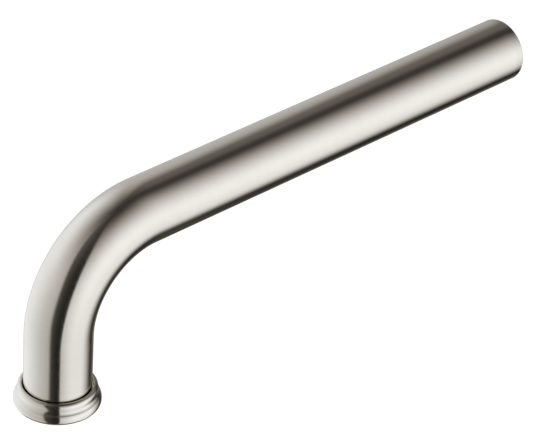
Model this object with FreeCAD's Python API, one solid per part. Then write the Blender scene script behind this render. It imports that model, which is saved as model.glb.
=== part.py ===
"""Wall mounted bath spout: a bent tube that slips over an adapter on the supply nipple, with a screw-on
outlet collar that carries a stream straightener. Millimetres, +Z up. The origin is the centre of the
tube's wall end, +Y runs into the wall and the spout reaches towards -Y."""

import FreeCAD
import Part
import math
import os

from FreeCAD import Vector

# ---- Supply end: sizes set by the half inch pipe thread and the stub behind it ----
SUPPLY_THREAD_R = 9.9  # pitch radius of the half inch taper pipe thread
SUPPLY_THREAD_DEPTH = 15.0
SUPPLY_CHAMFER = 0.9
SUPPLY_THREAD_HALF = 0.77  # from the pitch radius to the outside of the nipple that screws in
ADAPTER_WALL = 2.3
SOCKET_LENGTH = 18.0
SOCKET_CONE = 1.6  # height and width of the cone behind the socket
STUB_R = 7.94
STUB_LENGTH = 34.0
STUB_CHAMFER = 0.8
WATERWAY_R = 4.8
DRIVE_FLATS = 10.0  # the hexagon in the stub's end that the adapter is driven by
DRIVE_DEPTH = 12.0
GASKET_THICKNESS = 3.0
GASKET_RECESS = 0.1  # how far the gasket sits behind the tube's end
GASKET_NIPPLE_GAP = 0.35
ADAPTER_GASKET_GAP = 0.4

# ---- Tube ----
TUBE_WALL = 1.5
REACH = 259.0  # wall face to the outlet's axis
BEND_R = 42.9  # on the tube's centreline
DROP_STRAIGHT = 24.0  # straight tube that shows between the bend and the collar
TUBE_EDGE = 0.35  # chamfer round the tube's wall end

# ---- Inlet bushing, its seals and the set screw ----
BUSHING_LENGTH = 36.0
BUSHING_GAP = 3.0  # free length between the adapter's socket and the bushing
BUSHING_STOP_LENGTH = 3.0
BUSHING_STOP_STEP = 1.4  # how far the stop stands in from the bushing's bore
BUSHING_CHAMFER = 1.2
SCREW_FROM_BUSHING_END = 6.0
O_RING_SECTION = 2.3
O_RING_SIDE_GAP = 0.35
O_RING_FIRST = 16.0  # first ring's distance from the bushing's wall end
O_RING_SPACING = 7.0
O_RING_COUNT = 2
SCREW_R = 2.5
SCREW_RECESS = 1.16  # how far the screw is sunk below the tube's outside
SCREW_TIP_R = 1.7
SCREW_TIP_LENGTH = 1.1
SCREW_KEY_FLATS = 2.5
SCREW_KEY_DEPTH = 2.6
GROOVE_DEPTH = 0.9
GROOVE_SIDE_GAP = 0.4
GROOVE_FLOOR_GAP = 0.1

# ---- Collar, turned from one bar with the threaded spigot that holds the straightener ----
COLLAR_HEIGHT = 9.1
COLLAR_FLARE = 4.05  # how far the widest ring stands out from the tube
BEAD_FLARE = 2.45  # the same for the upper bead
LIP_LAND = 0.2  # flat top between the socket's edge and the bead
BEAD_HEIGHT = 7.4  # where the bead is widest
NECK_FLARE = 2.4
NECK_HEIGHT = 6.0  # narrowest place below the bead
CREASE_FLARE = 3.3
CREASE_HEIGHT = 4.2
RING_HEIGHT = 1.8  # where the lower ring is widest
FOOT_ROUND = 1.5
COLLAR_SOCKET_DEPTH = 4.9  # how far the collar covers the tube
SPIGOT_LENGTH = 8.4  # above the web
SPIGOT_WALL = 1.35
COLLAR_LIP_THICKNESS = 1.2
COLLAR_LIP_WIDTH = 0.9
MOUTH_CHAMFER = 0.5

# ---- Outlet nipple, brazed into the tube ----
NIPPLE_WALL = 1.75
NIPPLE_SHOULDER_WIDTH = 2.0
NIPPLE_SHOULDER_HEIGHT = 4.0
NIPPLE_CHAMFER = 0.5
WASHER_THICKNESS = 2.0
WASHER_WIDTH = 2.4

# ---- Stream straightener, stacked inside the collar's spigot ----
SHELL_WALL = 0.8
SHELL_LIP_THICKNESS = 0.8
SHELL_LIP_WIDTH = 0.45
GRID_THICKNESS = 4.0
CELL_FLATS = 1.6
CELL_WALL = 0.3
SCREEN_THICKNESS = 0.4
SCREEN_HOLE_R = 0.5
SCREEN_PITCH = 1.5
SPACER_THICKNESS = 0.8
SPACER_WIDTH = 0.75
DIFFUSER_THICKNESS = 2.0
DIFFUSER_HOLE_R = 0.6
DIFFUSER_RINGS = ((3.2, 10), (5.1, 16), (7.0, 22))  # ring radius and number of holes
DIFFUSER_CONE_R = 2.2
DIFFUSER_CONE_HEIGHT = 1.2
STRAINER_RIM_WIDTH = 0.9
STRAINER_RIM_HEIGHT = 0.6
STRAINER_THICKNESS = 0.35
STRAINER_RISE = 3.0
STRAINER_HOLE_R = 0.5
STRAINER_PITCH = 1.7
CLIP_WIRE = 0.7
CLIP_GAP_DEGREES = 24.0

# ---- Clearances ----
SLIDE_GAP = 0.08  # stub in bushing
SEAL_GAP = 0.03  # seal ring to the part that turns in it
SEAT_GAP = 0.02  # seal faces that close on each other
BRAZE_GAP = 0.05
THREAD_GAP = 0.05
SOCKET_GAP = 0.6  # adapter's socket inside the tube
COLLAR_GAP = 0.5  # collar round the tube
WEB_GAP = 0.3  # collar's web below the tube's end
STACK_GAP = 0.05  # round the straightener's pieces

# ---- Worked out from the sizes above ----
SOCKET_R = SUPPLY_THREAD_R + ADAPTER_WALL
TUBE_BORE_R = SOCKET_R + SOCKET_GAP
TUBE_R = TUBE_BORE_R + TUBE_WALL
BRAZED_R = TUBE_BORE_R - BRAZE_GAP
DROP = BEND_R + DROP_STRAIGHT + COLLAR_HEIGHT
TUBE_END_HEIGHT = COLLAR_HEIGHT - COLLAR_SOCKET_DEPTH

GASKET_BORE_R = SUPPLY_THREAD_R + SUPPLY_THREAD_HALF + GASKET_NIPPLE_GAP
SOCKET_START = GASKET_RECESS + GASKET_THICKNESS + ADAPTER_GASKET_GAP
SOCKET_END = SOCKET_START + SOCKET_LENGTH
STUB_END = SOCKET_END + STUB_LENGTH
BUSHING_START = SOCKET_END + BUSHING_GAP
BUSHING_END = BUSHING_START + BUSHING_LENGTH
BUSHING_BORE_R = STUB_R + SLIDE_GAP
SCREW_FROM_WALL = BUSHING_START + SCREW_FROM_BUSHING_END
GROOVE_FLOOR_R = STUB_R - GROOVE_DEPTH
SCREW_TIP_FROM_AXIS = GROOVE_FLOOR_R + GROOVE_FLOOR_GAP
SCREW_LENGTH = TUBE_R - SCREW_RECESS - SCREW_TIP_FROM_AXIS
O_RING_INNER_R = STUB_R + SEAL_GAP

NIPPLE_THREAD_R = BRAZED_R - NIPPLE_WALL
SPIGOT_R = NIPPLE_THREAD_R - THREAD_GAP
SPIGOT_BORE_R = SPIGOT_R - SPIGOT_WALL
MOUTH_R = SPIGOT_BORE_R - COLLAR_LIP_WIDTH
WEB_TOP = TUBE_END_HEIGHT - WEB_GAP
SPIGOT_TOP = WEB_TOP + SPIGOT_LENGTH
SHOULDER_HEIGHT = SPIGOT_TOP + WASHER_THICKNESS
SHELL_R = SPIGOT_BORE_R - STACK_GAP
SHELL_BORE_R = SHELL_R - SHELL_WALL
STACK_R = SHELL_BORE_R - STACK_GAP
SHELL_BOTTOM = COLLAR_LIP_THICKNESS
GRID_BOTTOM = SHELL_BOTTOM + SHELL_LIP_THICKNESS
LOWER_SCREEN_BOTTOM = GRID_BOTTOM + GRID_THICKNESS
SPACER_BOTTOM = LOWER_SCREEN_BOTTOM + SCREEN_THICKNESS
UPPER_SCREEN_BOTTOM = SPACER_BOTTOM + SPACER_THICKNESS
DIFFUSER_BOTTOM = UPPER_SCREEN_BOTTOM + SCREEN_THICKNESS
STRAINER_BOTTOM = DIFFUSER_BOTTOM + DIFFUSER_THICKNESS
CLIP_BOTTOM = STRAINER_BOTTOM + STRAINER_RIM_HEIGHT

UP = Vector(0, 0, 1)
CENTRE = Vector(0, 0, 0)


def outline(*steps):
    """Closed face in the plane of radius and height. A step is a point, or a (middle, end) pair for an arc."""
    edges = []
    here = steps[0]
    for step in steps[1:] + (steps[0],):
        if isinstance(step[0], tuple):
            middle, end = step
            points = [Vector(r, 0, h) for r, h in (here, middle, end)]
            edges.append(Part.Arc(*points).toShape())
        else:
            end = step
            edges.append(Part.LineSegment(Vector(here[0], 0, here[1]), Vector(end[0], 0, end[1])).toShape())
        here = end
    return Part.Face(Part.Wire(edges))


def arc_middle(upright, other):
    """Middle of the arc between two points that runs straight up or down at the first one."""
    run = abs(other[0] - upright[0])
    rise = abs(other[1] - upright[1])
    radius = (run ** 2 + rise ** 2) / (2 * run)
    half = math.atan2(rise, radius - run) / 2
    r = upright[0] + math.copysign(radius * (1 - math.cos(half)), other[0] - upright[0])
    h = upright[1] + math.copysign(radius * math.sin(half), other[1] - upright[1])
    return (r, h)


def turned(*steps):
    """The outline turned into a solid about the local Z axis."""
    solid = outline(*steps).revolve(CENTRE, UP, 360)
    return solid if solid.Volume > 0 else solid.reversed()


def ring(inner, outer, bottom, top):
    return turned((inner, bottom), (outer, bottom), (outer, top), (inner, top))


def hexagon(flats, bottom, top, centre=(0, 0)):
    """Hexagonal prism, measured across its flats."""
    corner = flats / math.sqrt(3)
    points = []
    for k in range(7):
        turn = math.radians(60 * k + 30)
        points.append(Vector(centre[0] + corner * math.cos(turn), centre[1] + corner * math.sin(turn), bottom))
    return Part.Face(Part.makePolygon(points)).extrude(Vector(0, 0, top - bottom))


def hex_pattern(pitch, limit):
    """Centres of a hexagonal pattern that lie within the limit radius."""
    rows = int(limit / pitch) + 2
    centres = []
    for row in range(-rows, rows + 1):
        for column in range(-rows, rows + 1):
            x = pitch * (column + 0.5 * (row % 2))
            y = pitch * row * math.sqrt(3) / 2
            if math.hypot(x, y) <= limit:
                centres.append((x, y))
    return centres


def drilled(solid, centres, radius, bottom, top):
    """The solid with a round hole along Z at each centre."""
    drills = [Part.makeCylinder(radius, top - bottom, Vector(x, y, bottom)) for x, y in centres]
    return solid.cut(Part.makeCompound(drills))


def on_wall_axis(shape):
    """Local Z becomes the distance from the wall, and local Y becomes up."""
    shape = shape.copy()
    shape.rotate(CENTRE, Vector(1, 0, 0), 90)
    return shape


def at_outlet(shape):
    """Local Z becomes the height above the outlet's face, on the outlet's axis."""
    shape = shape.copy()
    shape.translate(Vector(0, -REACH, -DROP))
    return shape


def screw_hole(inner, outer):
    """Round hole for the set screw, square to the wall axis and straight down."""
    start = Vector(0, -inner, SCREW_FROM_WALL)
    return Part.makeCylinder(SCREW_R + THREAD_GAP, outer - inner, start, Vector(0, -1, 0))


def o_ring_places():
    return [BUSHING_START + O_RING_FIRST + k * O_RING_SPACING for k in range(O_RING_COUNT)]


# ---- Supply end ----


def wall_adapter():
    """Screws onto the supply nipple and carries the spout on its stub."""
    start, end, stub_end = SOCKET_START, SOCKET_END, STUB_END
    thread_end = start + SUPPLY_THREAD_DEPTH
    half_groove = SCREW_TIP_R + GROOVE_SIDE_GAP
    body = turned(
        (SUPPLY_THREAD_R + SUPPLY_CHAMFER, start),
        (SOCKET_R, start),
        (SOCKET_R, end - SOCKET_CONE),
        (SOCKET_R - SOCKET_CONE, end),
        (STUB_R, end),
        (STUB_R, SCREW_FROM_WALL - half_groove - GROOVE_DEPTH),
        (GROOVE_FLOOR_R, SCREW_FROM_WALL - half_groove),
        (GROOVE_FLOOR_R, SCREW_FROM_WALL + half_groove),
        (STUB_R, SCREW_FROM_WALL + half_groove + GROOVE_DEPTH),
        (STUB_R, stub_end - STUB_CHAMFER),
        (STUB_R - STUB_CHAMFER, stub_end),
        (WATERWAY_R, stub_end),
        (WATERWAY_R, thread_end),
        (SUPPLY_THREAD_R, thread_end),
        (SUPPLY_THREAD_R, start + SUPPLY_CHAMFER),
    )
    return body.cut(hexagon(DRIVE_FLATS, stub_end - DRIVE_DEPTH, stub_end + 1))


def wall_gasket():
    """Soft ring in the tube's wall end that keeps splashed water out of the wall."""
    return ring(GASKET_BORE_R, BRAZED_R, GASKET_RECESS, GASKET_RECESS + GASKET_THICKNESS)


def inlet_bushing():
    """Brazed into the tube. It slides on the adapter's stub and holds the seal rings and the set screw."""
    bore = BUSHING_BORE_R
    stop = BUSHING_END - BUSHING_STOP_LENGTH
    body = turned(
        (bore + BUSHING_CHAMFER, BUSHING_START),
        (BRAZED_R, BUSHING_START),
        (BRAZED_R, BUSHING_END),
        (bore - BUSHING_STOP_STEP, BUSHING_END),
        (bore - BUSHING_STOP_STEP, stop),
        (bore, stop),
        (bore, BUSHING_START + BUSHING_CHAMFER),
    )
    half_groove = O_RING_SECTION / 2 + O_RING_SIDE_GAP
    floor = O_RING_INNER_R + O_RING_SECTION + SEAT_GAP
    for place in o_ring_places():
        body = body.cut(ring(bore - 1, floor, place - half_groove, place + half_groove))
    return body.cut(screw_hole(0, BRAZED_R + 1))


def o_ring(place):
    section = O_RING_SECTION / 2
    return Part.makeTorus(O_RING_INNER_R + section, section, Vector(0, 0, place), UP)


def set_screw():
    """Socket set screw whose tip stands in the stub's groove. Local Z runs along the screw, from its tip."""
    cone = SCREW_R - SCREW_TIP_R
    shank = SCREW_TIP_LENGTH + cone
    edge = 0.3
    body = turned(
        (0, 0),
        (SCREW_TIP_R, 0),
        (SCREW_TIP_R, SCREW_TIP_LENGTH),
        (SCREW_R, shank),
        (SCREW_R, SCREW_LENGTH - edge),
        (SCREW_R - edge, SCREW_LENGTH),
        (0, SCREW_LENGTH),
    )
    body = body.cut(hexagon(SCREW_KEY_FLATS, SCREW_LENGTH - SCREW_KEY_DEPTH, SCREW_LENGTH + 1))
    body.rotate(CENTRE, Vector(1, 0, 0), 180)
    body.translate(Vector(0, -SCREW_FROM_WALL, -SCREW_TIP_FROM_AXIS))
    return body


# ---- Tube ----


def tube_run(radius):
    """Solid rod of the tube's route: out from the wall, round the bend and down into the collar."""
    bend_start = -(REACH - BEND_R)
    straight = Part.makeCylinder(radius, -bend_start, CENTRE, Vector(0, -1, 0))
    circle = Part.Face(Part.Wire(Part.makeCircle(radius, Vector(0, bend_start, 0), Vector(0, -1, 0))))
    bend = circle.revolve(Vector(0, bend_start, -BEND_R), Vector(1, 0, 0), 90)
    drop_length = DROP - TUBE_END_HEIGHT - BEND_R
    drop = Part.makeCylinder(radius, drop_length, Vector(0, -REACH, -BEND_R), Vector(0, 0, -1))
    return straight.fuse([bend, drop]).removeSplitter()


def spout_tube():
    tube = tube_run(TUBE_R).cut(tube_run(TUBE_BORE_R))
    edge_cut = turned(
        (TUBE_R - TUBE_EDGE, 0),
        (TUBE_R + 1, -1 - TUBE_EDGE),
        (TUBE_R + 1, TUBE_EDGE + 1),
    )
    tube = tube.cut(on_wall_axis(edge_cut))
    return tube.cut(on_wall_axis(screw_hole(TUBE_BORE_R - 1, TUBE_R + 1)))


# ---- Outlet ----


def outlet_nipple():
    """Brazed into the tube's lower end. Its inside thread takes the collar's spigot."""
    bottom, top = TUBE_END_HEIGHT, SHOULDER_HEIGHT + NIPPLE_SHOULDER_HEIGHT
    throat = NIPPLE_THREAD_R - NIPPLE_SHOULDER_WIDTH
    return turned(
        (NIPPLE_THREAD_R + NIPPLE_CHAMFER, bottom),
        (BRAZED_R, bottom),
        (BRAZED_R, top),
        (throat + 2 * NIPPLE_CHAMFER, top),
        (throat, top - 2 * NIPPLE_CHAMFER),
        (throat, SHOULDER_HEIGHT),
        (NIPPLE_THREAD_R, SHOULDER_HEIGHT),
        (NIPPLE_THREAD_R, bottom + NIPPLE_CHAMFER),
    )


def outlet_collar():
    """Moulded ring and threaded spigot in one turned piece."""
    socket = TUBE_R + COLLAR_GAP
    land = (socket + LIP_LAND, COLLAR_HEIGHT)
    bead = (TUBE_R + BEAD_FLARE, BEAD_HEIGHT)
    neck = (TUBE_R + NECK_FLARE, NECK_HEIGHT)
    crease = (TUBE_R + CREASE_FLARE, CREASE_HEIGHT)
    wide = (TUBE_R + COLLAR_FLARE, RING_HEIGHT)
    foot_top = (wide[0], FOOT_ROUND)
    foot = (wide[0] - FOOT_ROUND, 0)
    return turned(
        (MOUTH_R + MOUTH_CHAMFER, 0),
        foot,
        (arc_middle(foot_top, foot), foot_top),
        wide,
        (arc_middle(wide, crease), crease),
        (arc_middle(neck, crease), neck),
        (arc_middle(bead, neck), bead),
        (arc_middle(bead, land), land),
        (socket, COLLAR_HEIGHT),
        (socket, WEB_TOP),
        (SPIGOT_R, WEB_TOP),
        (SPIGOT_R, SPIGOT_TOP),
        (SPIGOT_BORE_R, SPIGOT_TOP),
        (SPIGOT_BORE_R, COLLAR_LIP_THICKNESS),
        (MOUTH_R, COLLAR_LIP_THICKNESS),
        (MOUTH_R, MOUTH_CHAMFER),
    )


def outlet_washer():
    """Rubber ring squeezed between the spigot and the nipple's shoulder."""
    return ring(
        SPIGOT_R - WASHER_WIDTH, SPIGOT_R - THREAD_GAP, SPIGOT_TOP + SEAT_GAP, SHOULDER_HEIGHT - SEAT_GAP
    )


# ---- Stream straightener ----


def insert_shell():
    """Sleeve that holds the straightener's pieces, with a groove for the clip."""
    mouth = SHELL_BORE_R - SHELL_LIP_WIDTH
    body = turned(
        (mouth, SHELL_BOTTOM),
        (SHELL_R, SHELL_BOTTOM),
        (SHELL_R, SPIGOT_TOP),
        (SHELL_BORE_R, SPIGOT_TOP),
        (SHELL_BORE_R, GRID_BOTTOM),
        (mouth, GRID_BOTTOM),
    )
    groove = SHELL_BORE_R + CLIP_WIRE / 2
    return body.cut(ring(SHELL_BORE_R - 1, groove, CLIP_BOTTOM, CLIP_BOTTOM + CLIP_WIRE))


def honeycomb_grid():
    """Disc of hexagonal cells that the water leaves through."""
    body = Part.makeCylinder(STACK_R, GRID_THICKNESS, Vector(0, 0, GRID_BOTTOM))
    limit = STACK_R - SHELL_LIP_WIDTH - CELL_FLATS / 2
    cells = []
    for centre in hex_pattern(CELL_FLATS + CELL_WALL, limit):
        cells.append(hexagon(CELL_FLATS, GRID_BOTTOM - 1, LOWER_SCREEN_BOTTOM + 1, centre))
    return body.cut(Part.makeCompound(cells))


def mesh_screen(bottom):
    """Fine screen, open between its rim and a pattern of holes."""
    body = Part.makeCylinder(STACK_R, SCREEN_THICKNESS, Vector(0, 0, bottom))
    centres = hex_pattern(SCREEN_PITCH, STACK_R - SPACER_WIDTH - SCREEN_HOLE_R)
    return drilled(body, centres, SCREEN_HOLE_R, bottom - 1, bottom + SCREEN_THICKNESS + 1)


def screen_spacer():
    return ring(STACK_R - SPACER_WIDTH, STACK_R, SPACER_BOTTOM, UPPER_SCREEN_BOTTOM)


def diffuser_disc():
    """Splits the flow into small jets, with a low cone that spreads it to the holes."""
    body = Part.makeCylinder(STACK_R, DIFFUSER_THICKNESS, Vector(0, 0, DIFFUSER_BOTTOM))
    cone = Part.makeCone(DIFFUSER_CONE_R, 0, DIFFUSER_CONE_HEIGHT, Vector(0, 0, STRAINER_BOTTOM))
    centres = []
    for radius, count in DIFFUSER_RINGS:
        share = radius * STACK_R / (DIFFUSER_RINGS[-1][0] + DIFFUSER_HOLE_R + STRAINER_RIM_WIDTH)
        for k in range(count):
            turn = 2 * math.pi * k / count
            centres.append((share * math.cos(turn), share * math.sin(turn)))
    return drilled(body.fuse(cone), centres, DIFFUSER_HOLE_R, DIFFUSER_BOTTOM - 1, CLIP_BOTTOM)


def dome_strainer():
    """Domed screen that keeps grit out of the straightener."""
    rim_inner = STACK_R - STRAINER_RIM_WIDTH
    base = STRAINER_BOTTOM + STRAINER_RIM_HEIGHT
    sphere_r = (rim_inner ** 2 + STRAINER_RISE ** 2) / (2 * STRAINER_RISE)
    outer_r = sphere_r + STRAINER_THICKNESS
    centre_height = base + STRAINER_RISE - sphere_r
    half = math.atan2(rim_inner, sphere_r - STRAINER_RISE) / 2

    def on_sphere(radius, angle):
        return (radius * math.sin(angle), centre_height + radius * math.cos(angle))

    outer_edge = (math.sqrt(outer_r ** 2 - (base - centre_height) ** 2), base)
    outer_half = math.atan2(outer_edge[0], base - centre_height) / 2
    body = turned(
        (rim_inner, STRAINER_BOTTOM),
        (STACK_R, STRAINER_BOTTOM),
        (STACK_R, base),
        outer_edge,
        (on_sphere(outer_r, outer_half), (0, centre_height + outer_r)),
        (0, centre_height + sphere_r),
        (on_sphere(sphere_r, half), (rim_inner, base)),
    )
    centres = hex_pattern(STRAINER_PITCH, rim_inner - 2 * STRAINER_HOLE_R)
    return drilled(body, centres, STRAINER_HOLE_R, STRAINER_BOTTOM, base + 2 * STRAINER_RISE)


def retaining_ring():
    """Open wire ring that snaps into the shell's groove above the strainer's rim."""
    wire_r = CLIP_WIRE / 2 - STACK_GAP / 2
    middle = Vector(SHELL_BORE_R, 0, CLIP_BOTTOM + CLIP_WIRE / 2)
    circle = Part.Face(Part.Wire(Part.makeCircle(wire_r, middle, Vector(0, 1, 0))))
    return circle.revolve(CENTRE, UP, 360 - CLIP_GAP_DEGREES)


def pieces():
    """Every piece in its place, by name."""
    made = {
        "wall_adapter": on_wall_axis(wall_adapter()),
        "wall_gasket": on_wall_axis(wall_gasket()),
        "inlet_bushing": on_wall_axis(inlet_bushing()),
        "set_screw": set_screw(),
        "spout_tube": spout_tube(),
        "outlet_nipple": at_outlet(outlet_nipple()),
        "outlet_collar": at_outlet(outlet_collar()),
        "outlet_washer": at_outlet(outlet_washer()),
        "insert_shell": at_outlet(insert_shell()),
        "honeycomb_grid": at_outlet(honeycomb_grid()),
        "mesh_screen_lower": at_outlet(mesh_screen(LOWER_SCREEN_BOTTOM)),
        "screen_spacer": at_outlet(screen_spacer()),
        "mesh_screen_upper": at_outlet(mesh_screen(UPPER_SCREEN_BOTTOM)),
        "diffuser_disc": at_outlet(diffuser_disc()),
        "dome_strainer": at_outlet(dome_strainer()),
        "retaining_ring": at_outlet(retaining_ring()),
    }
    for number, place in enumerate(o_ring_places(), start=1):
        made[f"bushing_o_ring_{number}"] = on_wall_axis(o_ring(place))
    return made


def main():
    os.makedirs("parts", exist_ok=True)
    for name, shape in pieces().items():
        solids = shape.Solids
        if not shape.isValid() or len(solids) != 1:
            raise ValueError(f"{name}: valid {shape.isValid()}, solids {len(solids)}")
        solids[0].exportStep(f"parts/{name}.step")
        box = shape.BoundBox
        print(f"{name}: {box.XLength:.2f} x {box.YLength:.2f} x {box.ZLength:.2f} mm, {shape.Volume:.1f} mm3")


main()
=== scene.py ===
import math

import bmesh
import bpy
import numpy as np
from mathutils import Matrix, Vector, noise
from mathutils.geometry import tessellate_polygon


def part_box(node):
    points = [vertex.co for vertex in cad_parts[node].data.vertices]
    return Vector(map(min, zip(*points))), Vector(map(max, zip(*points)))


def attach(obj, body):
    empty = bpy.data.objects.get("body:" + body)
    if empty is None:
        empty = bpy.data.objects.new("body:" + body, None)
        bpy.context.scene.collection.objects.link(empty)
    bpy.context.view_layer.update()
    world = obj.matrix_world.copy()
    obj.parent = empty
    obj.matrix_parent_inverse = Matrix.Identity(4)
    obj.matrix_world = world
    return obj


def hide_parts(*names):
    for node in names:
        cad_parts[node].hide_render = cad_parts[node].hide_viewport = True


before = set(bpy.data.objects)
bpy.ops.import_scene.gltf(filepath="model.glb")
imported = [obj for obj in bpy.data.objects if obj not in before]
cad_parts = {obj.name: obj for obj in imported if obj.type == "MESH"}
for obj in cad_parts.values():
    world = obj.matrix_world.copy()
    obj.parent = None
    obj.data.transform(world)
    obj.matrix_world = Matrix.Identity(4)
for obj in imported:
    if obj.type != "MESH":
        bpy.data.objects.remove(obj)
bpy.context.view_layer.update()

MM = 0.001
TAU = 2 * math.pi

# ---------------------------------------------------------------- sizes read from the frame (mm)


def node_box(node):
    low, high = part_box(node)
    return low / MM, high / MM


tube_low, tube_high = node_box("spout_tube")
TUBE_R = tube_high.x
REACH = -tube_low.y - TUBE_R
TUBE_END_Z = tube_low.z
collar_low, collar_high = node_box("outlet_collar")
OUTLET_Z = collar_low.z
SPIGOT_TOP = collar_high.z - OUTLET_Z
adapter_low, adapter_high = node_box("wall_adapter")
bushing_high = node_box("inlet_bushing")[1]
nipple_low, nipple_high = node_box("outlet_nipple")
screw_low, screw_high = node_box("set_screw")
gasket_low, gasket_high = node_box("wall_gasket")
shell_low, shell_high = node_box("insert_shell")

# ---------------------------------------------------------------- sizes of the design (mm)

TUBE_WALL = 1.5
THREAD_GAP = 0.05
BEND_R = 3 * TUBE_R
TUBE_BORE_R = TUBE_R - TUBE_WALL
BRAZED_R = bushing_high.x
SCREW_R = screw_high.x
SCREW_Y = (screw_low.y + screw_high.y) / 2
SCREW_HOLE_R = SCREW_R + THREAD_GAP
STUB_R = 7.94
SUPPLY_THREAD_R = 9.9
SUPPLY_PITCH = 1.814
BUSHING_GAP = 3.0  # free length between the adapter's socket and the bushing
GROOVE_DEPTH = 0.9  # of the set screw's groove in the stub
GROOVE_HALF_WIDTH = 2.1  # of its floor
WATERWAY_R = 4.8
DRIVE_FLATS, DRIVE_DEPTH = 10.0, 12.0  # hexagon that the adapter is screwed in by
SUPPLY_DEPTH = 15.0
KEY_FLATS, KEY_DEPTH = 2.5, 2.6  # of the set screw
SCREW_TIP_R, SCREW_TIP_LENGTH = 1.7, 1.1
SCREW_PITCH = 0.8
OUTLET_PITCH = 1.0  # of the thread between collar and nipple
NIPPLE_WALL = 1.75
NIPPLE_SHOULDER_HEIGHT, NIPPLE_SHOULDER_WIDTH = 4.0, 2.0
NIPPLE_THREAD_R = BRAZED_R - NIPPLE_WALL
SPIGOT_R = NIPPLE_THREAD_R - THREAD_GAP
SPIGOT_WALL = 1.35
COLLAR_HEIGHT = 9.1
COLLAR_GAP = 0.5  # collar round the tube
WEB_GAP = 0.3  # collar's web below the nipple
COLLAR_LIP_WIDTH, COLLAR_LIP_THICKNESS = 0.9, 1.2
SHELL_WALL = 0.8
SHELL_LIP_WIDTH, SHELL_LIP_THICKNESS = 0.45, 0.8
STACK_R = shell_high.x - 0.85  # inside the shell's wall, with a small gap
RIM_WIDTH = 0.75  # of the screens and of the spacer between them
WASHER_WIDTH = 2.4

# ---------------------------------------------------------------- sides of round shapes

SEGMENTS = 192
DISC_SIDES = 144
CAP_SIDES = 48
O_RING_SIDES = 48

# ---------------------------------------------------------------- mesh helpers


def finish_mesh(name, verts, faces, material, body, replaces=(), flow=None, edge=None, sharp=38):
    """A smooth shaded piece from points in millimetres. flow holds the straightened coordinates that its
    brushing follows, and edge is 1 where handling wears the finish."""
    mesh = bpy.data.meshes.new(name)
    mesh.from_pydata([tuple(c * MM for c in v) for v in verts], [], faces)
    mesh.validate()
    mesh.polygons.foreach_set("use_smooth", [True] * len(mesh.polygons))
    if flow is not None:
        layer = mesh.attributes.new("flow", "FLOAT_VECTOR", "POINT")
        layer.data.foreach_set("vector", np.asarray(flow, np.float32).ravel() * MM)
    if edge is not None:
        layer = mesh.attributes.new("edge", "FLOAT", "POINT")
        layer.data.foreach_set("value", np.asarray(edge, np.float32))
    mesh.set_sharp_from_angle(angle=math.radians(sharp))
    mesh.materials.append(material)
    piece = bpy.data.objects.new(name, mesh)
    bpy.context.scene.collection.objects.link(piece)
    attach(piece, body)
    if replaces:
        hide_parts(*replaces)
    return piece


def on_wall_axis(r, turn, h):
    """h is the distance from the wall, and turn is 0 at the top."""
    return (r * math.sin(turn), -h, r * math.cos(turn))


def on_outlet_axis(r, turn, h):
    """h is the height above the outlet's face."""
    return (r * math.cos(turn), -REACH + r * math.sin(turn), OUTLET_Z + h)


def on_screw_axis(r, turn, h):
    """h is the distance above the set screw's outer end."""
    return (r * math.cos(turn), SCREW_Y + r * math.sin(turn), screw_low.z + h)


def arc(centre, radius, start, end, steps=8):
    """Points on a circle in the plane of radius and height, angles in degrees from the outward direction."""
    out = []
    for k in range(steps + 1):
        turn = math.radians(start + (end - start) * k / steps)
        out.append((centre[0] + radius * math.cos(turn), centre[1] + radius * math.sin(turn)))
    return out


def upright_arc(upright, other, steps=10):
    """Points from one to the other on the arc that runs straight up or down at the first one."""
    run, rise = other[0] - upright[0], other[1] - upright[1]
    radius = (run ** 2 + rise ** 2) / (2 * abs(run))
    sweep = math.atan2(abs(rise), radius - abs(run))
    points = []
    for k in range(steps + 1):
        turn = sweep * k / steps
        r = upright[0] + math.copysign(radius * (1 - math.cos(turn)), run)
        h = upright[1] + math.copysign(radius * math.sin(turn), rise)
        points.append((r, h))
    return points


def rounded(points, radius=0.12, steps=3):
    """The closed outline with each corner rounded. A corner given as (r, h, own) has its own radius."""
    out = []
    count = len(points)
    for k in range(count):
        here = Vector(points[k][:2])
        own = points[k][2] if len(points[k]) > 2 else radius
        to_last = Vector(points[k - 1][:2]) - here
        to_next = Vector(points[(k + 1) % count][:2]) - here
        if own <= 0 or to_last.length < 1e-6 or to_next.length < 1e-6:
            out.append(tuple(here))
            continue
        reach = min(own, to_last.length * 0.45, to_next.length * 0.45)
        a = here + to_last.normalized() * reach
        b = here + to_next.normalized() * reach
        for s in range(steps + 1):
            t = s / steps
            p = a * (1 - t) ** 2 + here * 2 * t * (1 - t) + b * t ** 2
            out.append(tuple(p))
    return out


class Cut:
    """A row of a turned piece whose radius changes round the axis."""

    def __init__(self, r, h, shape):
        self.r, self.h, self.shape = r, h, shape


def thread_rows(radius, bottom, top, pitch, depth, rows_per_turn=8):
    """Rows of a right hand thread. A positive depth cuts into a shaft, and a negative one into a bore."""
    flat = 0.12  # of the pitch, at crest and root

    def profile(phase):
        tooth = abs(2 * (phase % 1.0) - 1)
        return min(max((tooth - flat) / (1 - 2 * flat), 0), 1)

    rows = []
    count = int(round((top - bottom) / pitch * rows_per_turn))
    for k in range(count + 1):
        h = bottom + (top - bottom) * k / count
        fade = min(1, (h - bottom) / (0.8 * pitch), (top - h) / (0.8 * pitch))

        def shape(turn, r, h=h, fade=max(fade, 0)):
            return r - depth * fade * profile(h / pitch - turn / TAU)

        rows.append(Cut(radius, h, shape))
    return rows


def hex_shape(flats, least):
    """A hexagonal socket that never goes below the round bore."""
    def shape(turn, r):
        off = (turn % (TAU / 6)) - TAU / 12
        return max(flats / 2 / math.cos(off), least)
    return shape


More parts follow.
